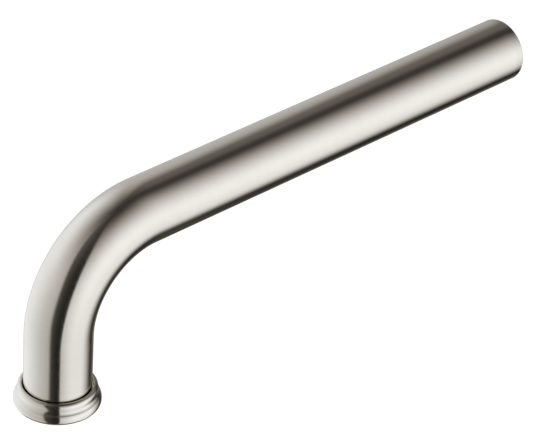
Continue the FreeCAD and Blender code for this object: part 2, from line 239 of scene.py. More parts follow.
def turned(name, rows, place, material, body, replaces=(), segments=SEGMENTS, sharp=38, edges=()):
    """A closed turned piece. rows go round its outline, as (r, h) points or Cut rows."""
    verts, flow, edge, faces = [], [], [], []
    length, last = 0.0, None
    for row in rows:
        r, h = (row.r, row.h) if isinstance(row, Cut) else row[:2]
        if last is not None:
            length += math.hypot(r - last[0], h - last[1])
        last = (r, h)
        worn = max([0.0] + [1 - math.hypot(r - e[0], h - e[1]) / e[2] for e in edges])
        for k in range(segments):
            turn = TAU * k / segments
            radius = row.shape(turn, r) if isinstance(row, Cut) else r
            verts.append(place(radius, turn, h))
            flow.append((TUBE_R * math.cos(turn), TUBE_R * math.sin(turn), length))
            edge.append(worn)
    count = len(rows)
    for i in range(count):
        faces += between(ring(i, segments), ring((i + 1) % count, segments))
    piece = finish_mesh(name, verts, faces, material, body, replaces, flow, edge, sharp)
    outward(piece)
    return piece


def ring(number, size, first=0):
    """Vertex numbers of one of several closed loops of the same size."""
    return range(first + number * size, first + (number + 1) * size)


def between(a, b):
    """Faces with four sides between two closed loops of vertex numbers."""
    count = len(a)
    return [(a[k], a[(k + 1) % count], b[(k + 1) % count], b[k]) for k in range(count)]


def outward(piece):
    """Faces look outwards: the signed volume of a closed mesh is positive."""
    mesh = piece.data
    mesh.calc_loop_triangles()
    co = np.zeros(len(mesh.vertices) * 3)
    mesh.vertices.foreach_get("co", co)
    co = co.reshape(-1, 3)
    tri = np.zeros(len(mesh.loop_triangles) * 3, int)
    mesh.loop_triangles.foreach_get("vertices", tri)
    a, b, c = (co[tri.reshape(-1, 3)[:, k]] for k in range(3))
    if np.einsum("ij,ij->i", a, np.cross(b, c)).sum() < 0:
        mesh.flip_normals()


def one_way(piece):
    """All faces of a closed mesh turned the same way."""
    shape = bmesh.new()
    shape.from_mesh(piece.data)
    bmesh.ops.recalc_face_normals(shape, faces=shape.faces)
    shape.to_mesh(piece.data)
    shape.free()


# ---------------------------------------------------------------- materials


class Nodes:
    """Short hand for a material's node tree."""

    def __init__(self, name):
        self.material = bpy.data.materials.new(name)
        self.material.use_nodes = True
        self.tree = self.material.node_tree
        self.shader = self.tree.nodes["Principled BSDF"]

    def add(self, kind, **values):
        node = self.tree.nodes.new(kind)
        for key, value in values.items():
            if hasattr(node, key):
                setattr(node, key, value)
            else:
                node.inputs[key.replace("_", " ")].default_value = value
        return node

    def link(self, out, to):
        self.tree.links.new(out, to)

    def put(self, name, value):
        """A value, or another node's output, for one of the shader's sockets."""
        socket = self.shader.inputs[name]
        if isinstance(value, (int, float, tuple)):
            socket.default_value = value
        else:
            self.link(value, socket)

    def scaled(self, source, scale):
        """Coordinates times one scale, or times a scale for each axis."""
        node = self.add("ShaderNodeVectorMath", operation="MULTIPLY")
        self.link(source, node.inputs[0])
        node.inputs[1].default_value = scale if isinstance(scale, tuple) else (scale,) * 3
        return node.outputs[0]

    def noise(self, source, scale, detail=3.0, rough=0.55):
        """Noise over coordinates that are scaled per metre."""
        node = self.add("ShaderNodeTexNoise", Scale=1.0, Detail=detail, Roughness=rough)
        self.link(self.scaled(source, scale), node.inputs["Vector"])
        return node.outputs["Fac"]

    def math(self, operation, a, b, c=None):
        node = self.add("ShaderNodeMath", operation=operation)
        for socket, value in zip(node.inputs, (a, b, c)):
            if value is None:
                continue
            if isinstance(value, (int, float)):
                socket.default_value = value
            else:
                self.link(value, socket)
        return node.outputs[0]

    def span(self, source, low, high, to_low, to_high):
        node = self.add("ShaderNodeMapRange")
        self.link(source, node.inputs["Value"])
        for key, value in zip(("From Min", "From Max", "To Min", "To Max"), (low, high, to_low, to_high)):
            node.inputs[key].default_value = value
        return node.outputs["Result"]

    def colours(self, source, *stops):
        node = self.add("ShaderNodeValToRGB")
        self.link(source, node.inputs["Fac"])
        ramp = node.color_ramp
        while len(ramp.elements) < len(stops):
            ramp.elements.new(0.5)
        for element, (place, colour) in zip(ramp.elements, stops):
            element.position = place
            element.color = (*colour, 1)
        return node.outputs["Color"]

    def mix(self, factor, a, b):
        node = self.add("ShaderNodeMix", data_type="RGBA")
        self.link(factor, node.inputs["Factor"])
        for socket, value in ((node.inputs[6], a), (node.inputs[7], b)):
            if isinstance(value, tuple):
                socket.default_value = (*value, 1)
            else:
                self.link(value, socket)
        return node.outputs[2]

    def bump(self, height, distance, strength=1.0, after=None):
        node = self.add("ShaderNodeBump", Strength=strength, Distance=distance)
        self.link(height, node.inputs["Height"])
        if after is not None:
            self.link(after, node.inputs["Normal"])
        return node.outputs["Normal"]


def object_coordinates(n):
    return n.add("ShaderNodeTexCoord").outputs["Object"]


def brushed(name, colour, warm, roughness, line=1.0, streak=1.0):
    """Plated or bare metal with fine lines round the piece, cloudier patches and worn edges."""
    n = Nodes(name)
    flow = n.add("ShaderNodeAttribute", attribute_name="flow").outputs["Vector"]
    place = object_coordinates(n)
    fine = n.noise(flow, (120, 120, 9000 * line), 2.0, 0.6)
    lines = n.noise(flow, (45, 45, 2600 * line), 4.0, 0.65)
    broad = n.noise(flow, (20, 20, 240 * line), 3.0, 0.6)
    cloud = n.noise(place, 28, 4.0, 0.55)
    edge = n.add("ShaderNodeAttribute", attribute_name="edge").outputs["Fac"]

    tint = n.colours(cloud, (0.3, warm), (0.7, colour))
    dull = tuple(0.9 * c for c in warm)
    tint = n.mix(n.span(lines, 0.35, 0.75, 0.0, 0.22 * streak), tint, dull)
    bright = tuple(min(1.0, 1.08 * c + 0.02) for c in colour)
    tint = n.mix(n.math("MULTIPLY", edge, 0.6), tint, bright)
    n.put("Base Color", tint)

    spread = n.span(lines, 0.3, 0.7, -0.03 * streak, 0.04 * streak)
    patches = n.span(cloud, 0.3, 0.7, -0.012, 0.018)
    bands = n.span(broad, 0.3, 0.7, -0.008 * streak, 0.012 * streak)
    rough = n.math("ADD", n.math("ADD", spread, patches), n.math("ADD", bands, roughness))
    rough = n.math("ADD", rough, n.math("MULTIPLY", edge, 0.06))
    n.put("Roughness", rough)
    n.put("Metallic", 1.0)
    normal = n.bump(fine, 0.0000012, 0.35)
    normal = n.bump(lines, 0.000003, 0.25 * streak, normal)
    n.put("Normal", normal)
    return n.material


NICKEL = (0.70, 0.655, 0.585)
NICKEL_WARM = (0.685, 0.635, 0.56)
BRASS = (0.78, 0.60, 0.30)
nickel = brushed("brushed_nickel", NICKEL, NICKEL_WARM, 0.13)
turned_nickel = brushed("turned_nickel", NICKEL, NICKEL_WARM, 0.085, streak=0.8)
brass = brushed("turned_brass", BRASS, (0.66, 0.47, 0.2), 0.3, line=0.45, streak=1.8)


def cast(name, colour, dark, roughness, grain, relief):
    """Metal without lines round it: grainy, with darker patches and a tarnish that follows them."""
    n = Nodes(name)
    place = object_coordinates(n)
    fine = n.noise(place, grain, 4.0, 0.6)
    cloud = n.noise(place, 160, 4.0, 0.6)
    tint = n.colours(cloud, (0.3, dark), (0.65, colour))
    tint = n.mix(n.span(fine, 0.35, 0.75, 0.0, 0.3), tint, tuple(0.82 * c for c in dark))
    n.put("Base Color", tint)
    rough = n.math("ADD", n.span(fine, 0.3, 0.7, -0.05, 0.06),
                   n.span(cloud, 0.3, 0.7, roughness + 0.05, roughness - 0.04))
    n.put("Roughness", rough)
    n.put("Metallic", 1.0)
    n.put("Normal", n.bump(fine, relief, 0.4))
    return n.material


bare_brass = cast("bare_brass", BRASS, (0.62, 0.45, 0.2), 0.33, 2600, 0.00001)
steel = cast("stainless_wire", (0.62, 0.61, 0.585), (0.52, 0.51, 0.49), 0.27, 5200, 0.000006)
pressed_steel = cast("pressed_steel", (0.60, 0.59, 0.57), (0.5, 0.49, 0.47), 0.3, 3100, 0.000008)


def black_oxide():
    """Blackened steel, worn to grey along the edges that a key and a thread rub."""
    n = Nodes("black_oxide_steel")
    place = object_coordinates(n)
    fine = n.noise(place, 6000, 3.0, 0.6)
    cloud = n.noise(place, 900, 4.0, 0.6)
    edge = n.add("ShaderNodeAttribute", attribute_name="edge").outputs["Fac"]
    tint = n.colours(cloud, (0.3, (0.016, 0.016, 0.018)), (0.7, (0.042, 0.039, 0.037)))
    worn = n.math("MULTIPLY", edge, n.span(fine, 0.4, 0.6, 0.15, 0.9))
    n.put("Base Color", n.mix(worn, tint, (0.34, 0.33, 0.31)))
    n.put("Roughness", n.span(fine, 0.3, 0.7, 0.34, 0.52))
    n.put("Metallic", 0.85)
    n.put("Normal", n.bump(fine, 0.000008, 0.5))
    return n.material


def seal_rubber():
    """Dark moulded rubber with a grey bloom in patches."""
    n = Nodes("seal_rubber")
    place = object_coordinates(n)
    fine = n.noise(place, 5200, 4.0, 0.65)
    cloud = n.noise(place, 420, 4.0, 0.6)
    tint = n.colours(cloud, (0.32, (0.012, 0.012, 0.013)), (0.72, (0.034, 0.034, 0.036)))
    n.put("Base Color", n.mix(n.span(fine, 0.5, 0.8, 0.0, 0.35), tint, (0.06, 0.06, 0.062)))
    n.put("Roughness", n.span(cloud, 0.3, 0.7, 0.42, 0.6))
    n.put("Normal", n.bump(fine, 0.00002, 0.5))
    return n.material


def cell_foam():
    """Closed cell foam: small pits, darkened with painted shade, with lighter walls between them."""
    n = Nodes("cell_foam")
    place = object_coordinates(n)
    cells = n.add("ShaderNodeTexVoronoi", Scale=1.0)
    n.link(n.scaled(place, 2600), cells.inputs["Vector"])
    cell = cells.outputs["Distance"]
    cloud = n.noise(place, 300, 3.0, 0.6)
    # painted shade: the colour is darkest in the middle of each cell, where the bump sinks the pit, and
    # lighter on the walls
    tint = n.colours(cell, (0.1, (0.045, 0.045, 0.047)), (0.75, (0.135, 0.135, 0.138)))
    n.put("Base Color", n.mix(n.span(cloud, 0.3, 0.7, 0.0, 0.45), tint, (0.085, 0.083, 0.08)))
    n.put("Roughness", n.span(cell, 0.1, 0.8, 0.98, 0.8))
    n.put("Specular IOR Level", 0.25)
    n.put("Normal", n.bump(cell, 0.00012, 0.8))
    return n.material


def moulded(name, colour, shade, roughness):
    """Injection moulded acetal: waxy, with faint flow lines and the mould's fine texture."""
    n = Nodes(name)
    place = object_coordinates(n)
    fine = n.noise(place, 4200, 3.0, 0.6)
    flow = n.noise(place, (260, 260, 90), 4.0, 0.6)
    tint = n.colours(flow, (0.3, shade), (0.7, colour))
    n.put("Base Color", n.mix(n.span(fine, 0.45, 0.8, 0.0, 0.25), tint, tuple(0.85 * c for c in shade)))
    n.put("Roughness", n.span(flow, 0.3, 0.7, roughness - 0.05, roughness + 0.07))
    n.put("Subsurface Weight", 0.12)
    n.put("Subsurface Radius", (0.0012, 0.001, 0.0008))
    n.put("Subsurface Scale", 1.0)
    n.put("Normal", n.bump(fine, 0.00001, 0.4))
    return n.material


oxide = black_oxide()
rubber = seal_rubber()
foam = cell_foam()
acetal = moulded("white_acetal", (0.80, 0.79, 0.76), (0.72, 0.71, 0.67), 0.36)
grey_acetal = moulded("grey_acetal", (0.335, 0.34, 0.345), (0.27, 0.275, 0.28), 0.38)

# ---------------------------------------------------------------- tube


def route(s):
    """Centre and outward direction of the tube at a length s from the wall (mm)."""
    straight = REACH - BEND_R
    turn = (s - straight) / BEND_R
    if turn <= 0:
        return Vector((0, -s, 0)), Vector((0, 0, 1))
    if turn >= math.pi / 2:
        rest = s - straight - BEND_R * math.pi / 2
        return Vector((0, -REACH, -BEND_R - rest)), Vector((0, -1, 0))
    out = Vector((0, -math.sin(turn), math.cos(turn)))
    return Vector((0, -straight, -BEND_R)) + out * BEND_R, out


ROUTE_LENGTH = (REACH - BEND_R) + BEND_R * math.pi / 2 + (-BEND_R - TUBE_END_Z)


def spaced(start, end, step):
    count = max(1, int(math.ceil(abs(end - start) / step)))
    return [start + (end - start) * k / count for k in range(count + 1)]


HOLE_SPREAD = 3.5  # half the length of the patch round the set screw's hole
HOLE_STEPS = 7  # rows of the tube's mesh along the patch
HOLE_COLUMNS = (88, 103)  # columns of the tube's mesh that the patch lies between


def hole_loops(add, number, radius, inwards):
    """Vertex loops round the set screw's hole, from the patch's edge to the hole, on one face of the wall."""
    first, last = HOLE_COLUMNS
    sides = [(0, k) for k in range(first, last)] + [(j, last) for j in range(HOLE_STEPS)]
    sides += [(HOLE_STEPS, k) for k in range(last, first, -1)]
    sides += [(j, first) for j in range(HOLE_STEPS, 0, -1)]
    border, middle, rim, wall = [], [], [], []
    for j, k in sides:
        turn = TAU * (k + 0.5) / SEGMENTS
        x = radius * math.sin(turn)
        v = HOLE_SPREAD * (2 * j / HOLE_STEPS - 1)
        angle = math.atan2(v, x)
        border.append(number(j, k))
        for loop, reach, share, sink in ((middle, SCREW_HOLE_R + 0.25, 0.5, 0),
                                         (rim, SCREW_HOLE_R + 0.2, 1, 0),
                                         (wall, SCREW_HOLE_R, 1, 0.2)):
            px = x + (reach * math.cos(angle) - x) * share
            pv = v + (reach * math.sin(angle) - v) * share
            loop.append(add(px, pv, radius, sink * inwards))
    return [border, middle, rim, wall]


def spout_tube():
    """The bent tube, with the set screw's hole in its underside near the wall."""
    rounding = 0.4
    eased = 0.15  # at the bore's wall end
    cut = 0.3  # at the lower end
    hole = -SCREW_Y
    marks = [hole - HOLE_SPREAD + 2 * HOLE_SPREAD * j / HOLE_STEPS for j in range(HOLE_STEPS + 1)]
    bend_start = REACH - BEND_R
    bend_end = bend_start + BEND_R * math.pi / 2
    rows = [(TUBE_BORE_R + eased, 0.0)]
    rows += [(TUBE_R - rounding + rounding * math.sin(t), rounding - rounding * math.cos(t))
             for t in (math.radians(15 * k) for k in range(7))]
    rows += [(TUBE_R, s) for s in spaced(rounding, marks[0], 6.0)[1:-1]]
    outer_start = len(rows)
    rows += [(TUBE_R, s) for s in marks]
    rows += [(TUBE_R, s) for s in spaced(marks[-1], bend_start, 6.0)[1:]]
    rows += [(TUBE_R, s) for s in spaced(bend_start, bend_end, 0.9)[1:]]
    rows += [(TUBE_R, s) for s in spaced(bend_end, ROUTE_LENGTH - cut, 3.0)[1:]]
    rows += [(TUBE_R - cut, ROUTE_LENGTH)]
    rows += [(TUBE_BORE_R + 0.2, ROUTE_LENGTH), (TUBE_BORE_R, ROUTE_LENGTH - 0.2)]
    rows += [(TUBE_BORE_R, s) for s in spaced(ROUTE_LENGTH - 0.2, bend_end, 6.0)[1:]]
    rows += [(TUBE_BORE_R, s) for s in spaced(bend_end, bend_start, 1.8)[1:]]
    rows += [(TUBE_BORE_R, s) for s in spaced(bend_start, marks[-1], 6.0)[1:-1]]
    inner_start = len(rows)
    rows += [(TUBE_BORE_R, s) for s in marks[::-1]]
    rows += [(TUBE_BORE_R, s) for s in spaced(marks[0], eased, 6.0)[1:]]
    verts, flow, worn, faces = [], [], [], []
    side = Vector((1, 0, 0))
    for r, s in rows:
        centre, out = route(s)
        for k in range(SEGMENTS):
            turn = TAU * (k + 0.5) / SEGMENTS
            verts.append(centre + r * (math.sin(turn) * side + math.cos(turn) * out))
            flow.append((r * math.sin(turn), r * math.cos(turn), s))
            worn.append(1.0 if r > TUBE_BORE_R + 0.5 and s < 0.35 else 0.0)
    count = len(rows)
    patches = [range(start, start + HOLE_STEPS) for start in (outer_start, inner_start)]
    for i in range(count):
        j = (i + 1) % count
        for k in range(SEGMENTS):
            if any(i in patch for patch in patches) and HOLE_COLUMNS[0] <= k < HOLE_COLUMNS[1]:
                continue
            n = (k + 1) % SEGMENTS
            faces.append((i * SEGMENTS + k, i * SEGMENTS + n, j * SEGMENTS + n, j * SEGMENTS + k))

    def add(x, v, radius, sink):
        z = -math.sqrt(radius ** 2 - x ** 2) + sink
        verts.append((x, SCREW_Y - v, z))
        flow.append((x, z, hole + v))
        worn.append(0.0)
        return len(verts) - 1

    outer = hole_loops(add, lambda j, k: (outer_start + j) * SEGMENTS + k, TUBE_R, 1)
    inner = hole_loops(add, lambda j, k: (inner_start + HOLE_STEPS - j) * SEGMENTS + k, TUBE_BORE_R, -1)
    loops = outer + inner[::-1]
    for a, b in zip(loops, loops[1:]):
        faces += between(a, b)
    piece = finish_mesh("spout_tube_visual", verts, faces, nickel, "spout",
                        ("spout_tube",), flow, worn)
    one_way(piece)
    outward(piece)
    return piece


# ---------------------------------------------------------------- collar


def outlet_collar():
    """Moulded ring round the tube's end, with the threaded spigot that holds the straightener."""
    socket = TUBE_R + COLLAR_GAP
    land = (socket + 0.2, COLLAR_HEIGHT)
    bead = (TUBE_R + 2.45, 7.4)
    neck = (TUBE_R + 2.4, 6.0)
    crease = (TUBE_R + 3.3, 4.2)
    wide = (TUBE_R + 4.05, 1.8)
    foot = 1.5
    web = nipple_low.z - OUTLET_Z - WEB_GAP
    bore = SPIGOT_R - SPIGOT_WALL
    mouth = bore - COLLAR_LIP_WIDTH
    lip = COLLAR_LIP_THICKNESS
    rows = [(mouth + 0.5, 0.0), (mouth + 0.7, 0.0), (15.0, 0.0), (wide[0] - foot, 0.0)]
    rows += arc((wide[0] - foot, foot), foot, -80, 0, 10)
    rows += upright_arc(wide, crease)
    rows += upright_arc(neck, crease)[::-1][1:]
    rows += upright_arc(bead, neck)[::-1][1:]
    rows += upright_arc(bead, land)[1:]
    rows += [(socket + 0.1, COLLAR_HEIGHT), (socket, COLLAR_HEIGHT - 0.1)]
    rows += [(socket, h) for h in spaced(COLLAR_HEIGHT - 0.3, web + 0.1, 1.5)]
    rows += [(socket - 0.1, web), (SPIGOT_R + 0.5, web), (SPIGOT_R, web + 0.25)]
    rows += thread_rows(SPIGOT_R, web + 0.9, SPIGOT_TOP - 0.35, OUTLET_PITCH, 0.5)
    rows += [(SPIGOT_R - 0.4, SPIGOT_TOP), (bore + 0.15, SPIGOT_TOP), (bore, SPIGOT_TOP - 0.15)]
    rows += [(bore, h) for h in spaced(SPIGOT_TOP - 0.4, lip + 0.1, 3.0)]
    rows += [(bore - 0.1, lip), (mouth + 0.1, lip), (mouth, lip - 0.1), (mouth, 0.5), (mouth + 0.15, 0.15)]
    edges = [(wide[0], 1.2, 1.3), (crease[0], crease[1], 0.35), (bead[0], bead[1], 0.9), (*land, 0.5),
             (mouth + 0.5, 0.0, 0.5)]
    return turned("outlet_collar_visual", rows, on_outlet_axis, turned_nickel, "collar",
                  ("outlet_collar",), edges=edges)


# ---------------------------------------------------------------- supply end


def wall_adapter():
    """Threaded socket, stub with the screw's groove, and the hexagon that it is driven by."""
    socket = adapter_high.x
    start, stub_end = -adapter_high.y, -adapter_low.y
    end = -bushing_high.y - BUSHING_GAP
    groove_floor = STUB_R - GROOVE_DEPTH
    groove_low, groove_high = -SCREW_Y - GROOVE_HALF_WIDTH, -SCREW_Y + GROOVE_HALF_WIDTH
    thread_end = start + SUPPLY_DEPTH
    rows = [(SUPPLY_THREAD_R + 1.0, start), (socket - 0.35, start)]
    rows += [(socket - 0.1, start + 0.1), (socket, start + 0.35)]
    rows += [(socket, h) for h in spaced(start + 0.8, end - 2.0, 3.0)]
    rows += [(socket - 0.05, end - 1.55), (socket - 1.45, end - 0.12), (socket - 1.7, end)]
    rows += [(STUB_R + 0.3, end), (STUB_R + 0.08, end + 0.08), (STUB_R, end + 0.3)]
    rows += [(STUB_R, h) for h in spaced(end + 0.8, groove_low - GROOVE_DEPTH - 0.4, 2.0)]
    rows += [(STUB_R - 0.04, groove_low - GROOVE_DEPTH + 0.02), (groove_floor + 0.06, groove_low - 0.05)]
    rows += [(groove_floor, groove_low + 0.2), (groove_floor, -SCREW_Y), (groove_floor, groove_high - 0.2)]
    rows += [(groove_floor + 0.06, groove_high + 0.05), (STUB_R - 0.04, groove_high + GROOVE_DEPTH - 0.02)]
    rows += [(STUB_R, h) for h in spaced(groove_high + GROOVE_DEPTH + 0.4, stub_end - 1.1, 3.0)]
    rows += [(STUB_R - 0.06, stub_end - 0.78), (STUB_R - 0.74, stub_end - 0.08), (STUB_R - 0.95, stub_end)]
    drive_end = stub_end - DRIVE_DEPTH
    key = hex_shape(DRIVE_FLATS, WATERWAY_R)
    wide_key = hex_shape(DRIVE_FLATS + 0.5, WATERWAY_R)
    rows += [Cut(DRIVE_FLATS / 2, stub_end, wide_key), Cut(DRIVE_FLATS / 2, stub_end - 0.3, key)]
    rows += [Cut(DRIVE_FLATS / 2, h, key) for h in spaced(stub_end - 0.8, drive_end, 3.0)]
    rows += [(WATERWAY_R, drive_end - 0.15)]
    rows += [(WATERWAY_R, h) for h in spaced(drive_end - 1.0, thread_end + 0.4, 4.0)]
    rows += [(WATERWAY_R + 0.15, thread_end)]
    rows += [(SUPPLY_THREAD_R - 0.2, thread_end), (SUPPLY_THREAD_R, thread_end - 0.2)]
    rows += thread_rows(SUPPLY_THREAD_R, start + 1.0, thread_end - 0.7, SUPPLY_PITCH, -1.0)[::-1]
    rows += [(SUPPLY_THREAD_R, start + 0.9), (SUPPLY_THREAD_R + 0.8, start + 0.1)]
    return turned("wall_adapter_visual", rows, on_wall_axis, brass, "adapter", ("wall_adapter",),
                  edges=[(socket, start, 0.6), (STUB_R, stub_end, 0.9), (SUPPLY_THREAD_R, start, 1.2)])


def wall_gasket():
    """Ring of closed cell foam. Its faces are pitted where the cells were cut through."""
    bore, outer = SUPPLY_THREAD_R + 1.12, gasket_high.x
    low, high = -gasket_high.y, -gasket_low.y
    outline = rounded([(bore, low), (outer, low), (outer, high), (bore, high)], 0.3, 4)
    rows = []
    for k, here in enumerate(outline):
        there = outline[(k + 1) % len(outline)]
        steps = max(1, int(math.dist(here, there) / 0.2))
        rows += [(here[0] + (there[0] - here[0]) * t / steps, here[1] + (there[1] - here[1]) * t / steps)
                 for t in range(steps)]
    piece = turned("wall_gasket_visual", rows, on_wall_axis, foam, "spout", ("wall_gasket",),
                   segments=480, sharp=180)
    middle_r, middle_h = (bore + outer) / 2 * MM, (low + high) / 2 * MM
    for vertex in piece.data.vertices:
        x, y, z = vertex.co
        radial = Vector((x, 0, z)).normalized()
        centre = radial * middle_r + Vector((0, -middle_h, 0))
        cell = noise.voronoi(vertex.co * 2200)[0][0]
        swell = noise.noise(vertex.co * 900)
        pit = max(0.0, 0.32 - cell) * 0.35 + 0.02 * (swell + 1)
        towards = (centre - vertex.co).normalized()
        vertex.co += towards * min(pit, 0.13) * MM
    return piece


def set_screw():
    """Socket set screw with a rolled thread, a dog point and a hexagonal key socket."""
    length = screw_high.z - screw_low.z
    tip_r, tip = SCREW_TIP_R, SCREW_TIP_LENGTH
    key, mouth = hex_shape(KEY_FLATS, 0.2), hex_shape(KEY_FLATS + 0.35, 0.2)
    rows = [(0.02, 0.9 * KEY_DEPTH + 0.5)]
    rows += [Cut(KEY_FLATS / 2, h, key) for h in (KEY_DEPTH, KEY_DEPTH / 2, 0.2)]
    rows += [Cut(KEY_FLATS / 2, 0.0, mouth)]
    rows += [(SCREW_R - 0.45, 0.0), (SCREW_R - 0.3, 0.05), (SCREW_R - 0.02, 0.32)]
    rows += thread_rows(SCREW_R, 0.4, length - tip - 0.9, SCREW_PITCH, 0.4, rows_per_turn=12)
    rows += [(SCREW_R - 0.05, length - tip - 0.8)]
    rows += [(tip_r + 0.05, length - tip - 0.02), (tip_r, length - tip + 0.08)]
    rows += [(tip_r, length - 0.2), (tip_r - 0.06, length - 0.06), (tip_r - 0.2, length), (0.02, length)]
    return turned("set_screw_visual", rows, on_screw_axis, oxide, "screw", ("set_screw",),
                  segments=96, edges=[(SCREW_R, 0.1, 0.5), (KEY_FLATS / 2, 0.0, 0.4)])


def o_rings():
    """Seal rings with the fine raised line that their mould's halves leave."""
    for number in (1, 2):
        node = f"bushing_o_ring_{number}"
        low, high = node_box(node)
        middle_h, section = -(low.y + high.y) / 2, (high.y - low.y) / 2
        middle_r = high.x - section
        line = 0.05
        rows = []
        for k in range(O_RING_SIDES):
            turn = TAU * k / O_RING_SIDES
            ridge = section - line + line * max(0.0, abs(math.cos(turn)) * 12 - 11)
            h = middle_h + (section - line * 0.2) * math.sin(turn)
            rows.append((middle_r + ridge * math.cos(turn), h))
        turned(f"{node}_visual", rows, on_wall_axis, rubber, "spout", (node,), sharp=180)


# ---------------------------------------------------------------- outlet


def outlet_nipple():
    """Threaded sleeve in the tube's lower end, with the shoulder that the washer seals on."""
    bottom, top = nipple_low.z - OUTLET_Z, nipple_high.z - OUTLET_Z
    shoulder, throat = top - NIPPLE_SHOULDER_HEIGHT, NIPPLE_THREAD_R - NIPPLE_SHOULDER_WIDTH
    rows = [(NIPPLE_THREAD_R + 0.6, bottom), (BRAZED_R - 0.25, bottom), (BRAZED_R, bottom + 0.25)]
    rows += [(BRAZED_R, h) for h in spaced(bottom + 1.0, top - 1.0, 3.0)]
    rows += [(BRAZED_R, top - 0.25), (BRAZED_R - 0.25, top)]
    rows += [(throat + 1.15, top), (throat + 0.95, top - 0.06), (throat + 0.06, top - 0.95)]
    rows += [(throat, top - 1.2), (throat, shoulder + 0.2), (throat + 0.2, shoulder)]
    rows += [(NIPPLE_THREAD_R - 0.2, shoulder), (NIPPLE_THREAD_R, shoulder - 0.2)]
    rows += thread_rows(NIPPLE_THREAD_R, bottom + 0.7, shoulder - 0.6, OUTLET_PITCH, -0.5)[::-1]
    rows += [(NIPPLE_THREAD_R, bottom + 0.6), (NIPPLE_THREAD_R + 0.45, bottom + 0.06)]
    return turned("outlet_nipple_visual", rows, on_outlet_axis, brass, "spout",
                  ("outlet_nipple",), edges=[(BRAZED_R, bottom, 0.6)])


def plain_ring(name, node, inner, material, body, corner):
    """A ring on the outlet's axis as high and wide as its node, with rounded corners."""
    low, high = node_box(node)
    bottom, top = low.z - OUTLET_Z, high.z - OUTLET_Z
    rows = rounded([(inner, bottom), (high.x, bottom), (high.x, top), (inner, top)], corner, 5)
    return turned(name, rows, on_outlet_axis, material, body, (node,), sharp=60)


def insert_shell():
    """Moulded sleeve with a lip below, and a groove inside its top for the wire ring."""
    bottom, top = shell_low.z - OUTLET_Z, shell_high.z - OUTLET_Z
    outer, bore = shell_high.x, shell_high.x - SHELL_WALL
    mouth, ledge = bore - SHELL_LIP_WIDTH, bottom + SHELL_LIP_THICKNESS
    clip_low, clip_high = node_box("retaining_ring")
    low, high = clip_low.z - OUTLET_Z - 0.02, clip_high.z - OUTLET_Z + 0.02
    rows = rounded([
        (mouth, bottom, 0.25), (outer, bottom, 0.3), (outer, top, 0.2), (bore, top, 0.2),
        (bore, high, 0.04), (bore + 0.35, high, 0.1), (bore + 0.35, low, 0.1), (bore, low, 0.04),
        (bore, ledge, 0.05), (mouth, ledge, 0.12)], steps=4)
    return turned("insert_shell_visual", rows, on_outlet_axis, acetal, "collar",
                  ("insert_shell",))


def pattern(pitch, limit):
    """Centres of a hexagonal pattern inside a radius."""
    rows = int(limit / pitch) + 2
    centres = []
    for row in range(-rows, rows + 1):
        for column in range(-rows, rows + 1):
            x, y = pitch * (column + 0.5 * (row % 2)), pitch * row * math.sqrt(3) / 2
            if math.hypot(x, y) <= limit:
                centres.append((x, y))
    return centres


def circle(x, y, radius, sides):
    return [(x + radius * math.cos(TAU * k / sides), y + radius * math.sin(TAU * k / sides))
            for k in range(sides)]


def plate(name, node, holes, bottom, top, material, bevel, cap=None):
    """A flat disc with holes, all its edges eased. Each hole is a function that gives its outline grown by
    an amount. cap is a cone's base radius and height on the middle of the top."""
    verts, faces = [], []

    def rim(grow):
        return circle(0, 0, STACK_R - grow, DISC_SIDES)

    outlines = [rim] + list(holes)
    levels = ((bevel, bottom), (0.3 * bevel, bottom + 0.3 * bevel), (0, bottom + bevel),
              (0, top - bevel), (0.3 * bevel, top - 0.3 * bevel), (bevel, top))
    ends = {0: [], len(levels) - 1: []}
    for outline in outlines:
        loops = []
        for number, (grow, h) in enumerate(levels):
            points = outline(grow)
            loops.append(range(len(verts), len(verts) + len(points)))
            verts += [(x, y - REACH, OUTLET_Z + h) for x, y in points]
            if number in ends:
                ends[number].append(loops[-1])
        for a, b in zip(loops, loops[1:]):
            faces += between(a, b)
    if cap:
        radius, rise = cap
        lifted = []
        for share in (1.0, 0.96, 0.5, 0.12):
            h = top + rise * (1 - share) * (0.6 if share == 0.96 else 1)
            lifted.append(ring(0, CAP_SIDES, len(verts)))
            verts += [(x, y - REACH, OUTLET_Z + h) for x, y in circle(0, 0, radius * share, CAP_SIDES)]
        for a, b in zip(lifted, lifted[1:]):
            faces += between(a, b)
        faces.append(tuple(lifted[-1]))
        ends[len(levels) - 1].append(lifted[0])
    for loops in ends.values():
        lines = [[Vector((verts[i][0], verts[i][1], 0)) for i in loop] for loop in loops]
        order = [i for loop in loops for i in loop]
        faces += [tuple(order[i] for i in triangle) for triangle in tessellate_polygon(lines)]
    piece = finish_mesh(name, verts, faces, material, "collar", (node,))
    one_way(piece)
    outward(piece)
    return piece


def round_hole(x, y, radius, sides=24):
    return lambda grow: circle(x, y, radius + grow, sides)


def hexagonal_hole(x, y, flats, ease=0.12):
    """Hexagonal outline with its corners rounded."""
    def points(grow):
        corner = (flats / 2 + grow) / math.cos(math.pi / 6)
        out = []
        for k in range(6):
            turn = TAU * k / 6 + math.pi / 6
            here = Vector((corner * math.cos(turn), corner * math.sin(turn)))
            for side in (-1, 0, 1):
                other = turn + side * TAU / 6
                there = Vector((corner * math.cos(other), corner * math.sin(other)))
                p = here * (1 - 0.35 * ease) if side == 0 else here + (there - here) * ease
                out.append((x + p.x, y + p.y))
        return out
    return points


def node_span(node):
    low, high = node_box(node)
    return low.z - OUTLET_Z, high.z - OUTLET_Z


def honeycomb_grid():
    """Moulded disc of small hexagonal channels."""
    cell_pitch, cell_flats, cell_reach = 1.9, 1.6, 0.8
    bottom, top = node_span("honeycomb_grid")
    cells = pattern(cell_pitch, STACK_R - SHELL_LIP_WIDTH - cell_reach)
    return plate("honeycomb_grid_visual", "honeycomb_grid",
                 [hexagonal_hole(x, y, cell_flats) for x, y in cells],
                 bottom, top, grey_acetal, 0.07)


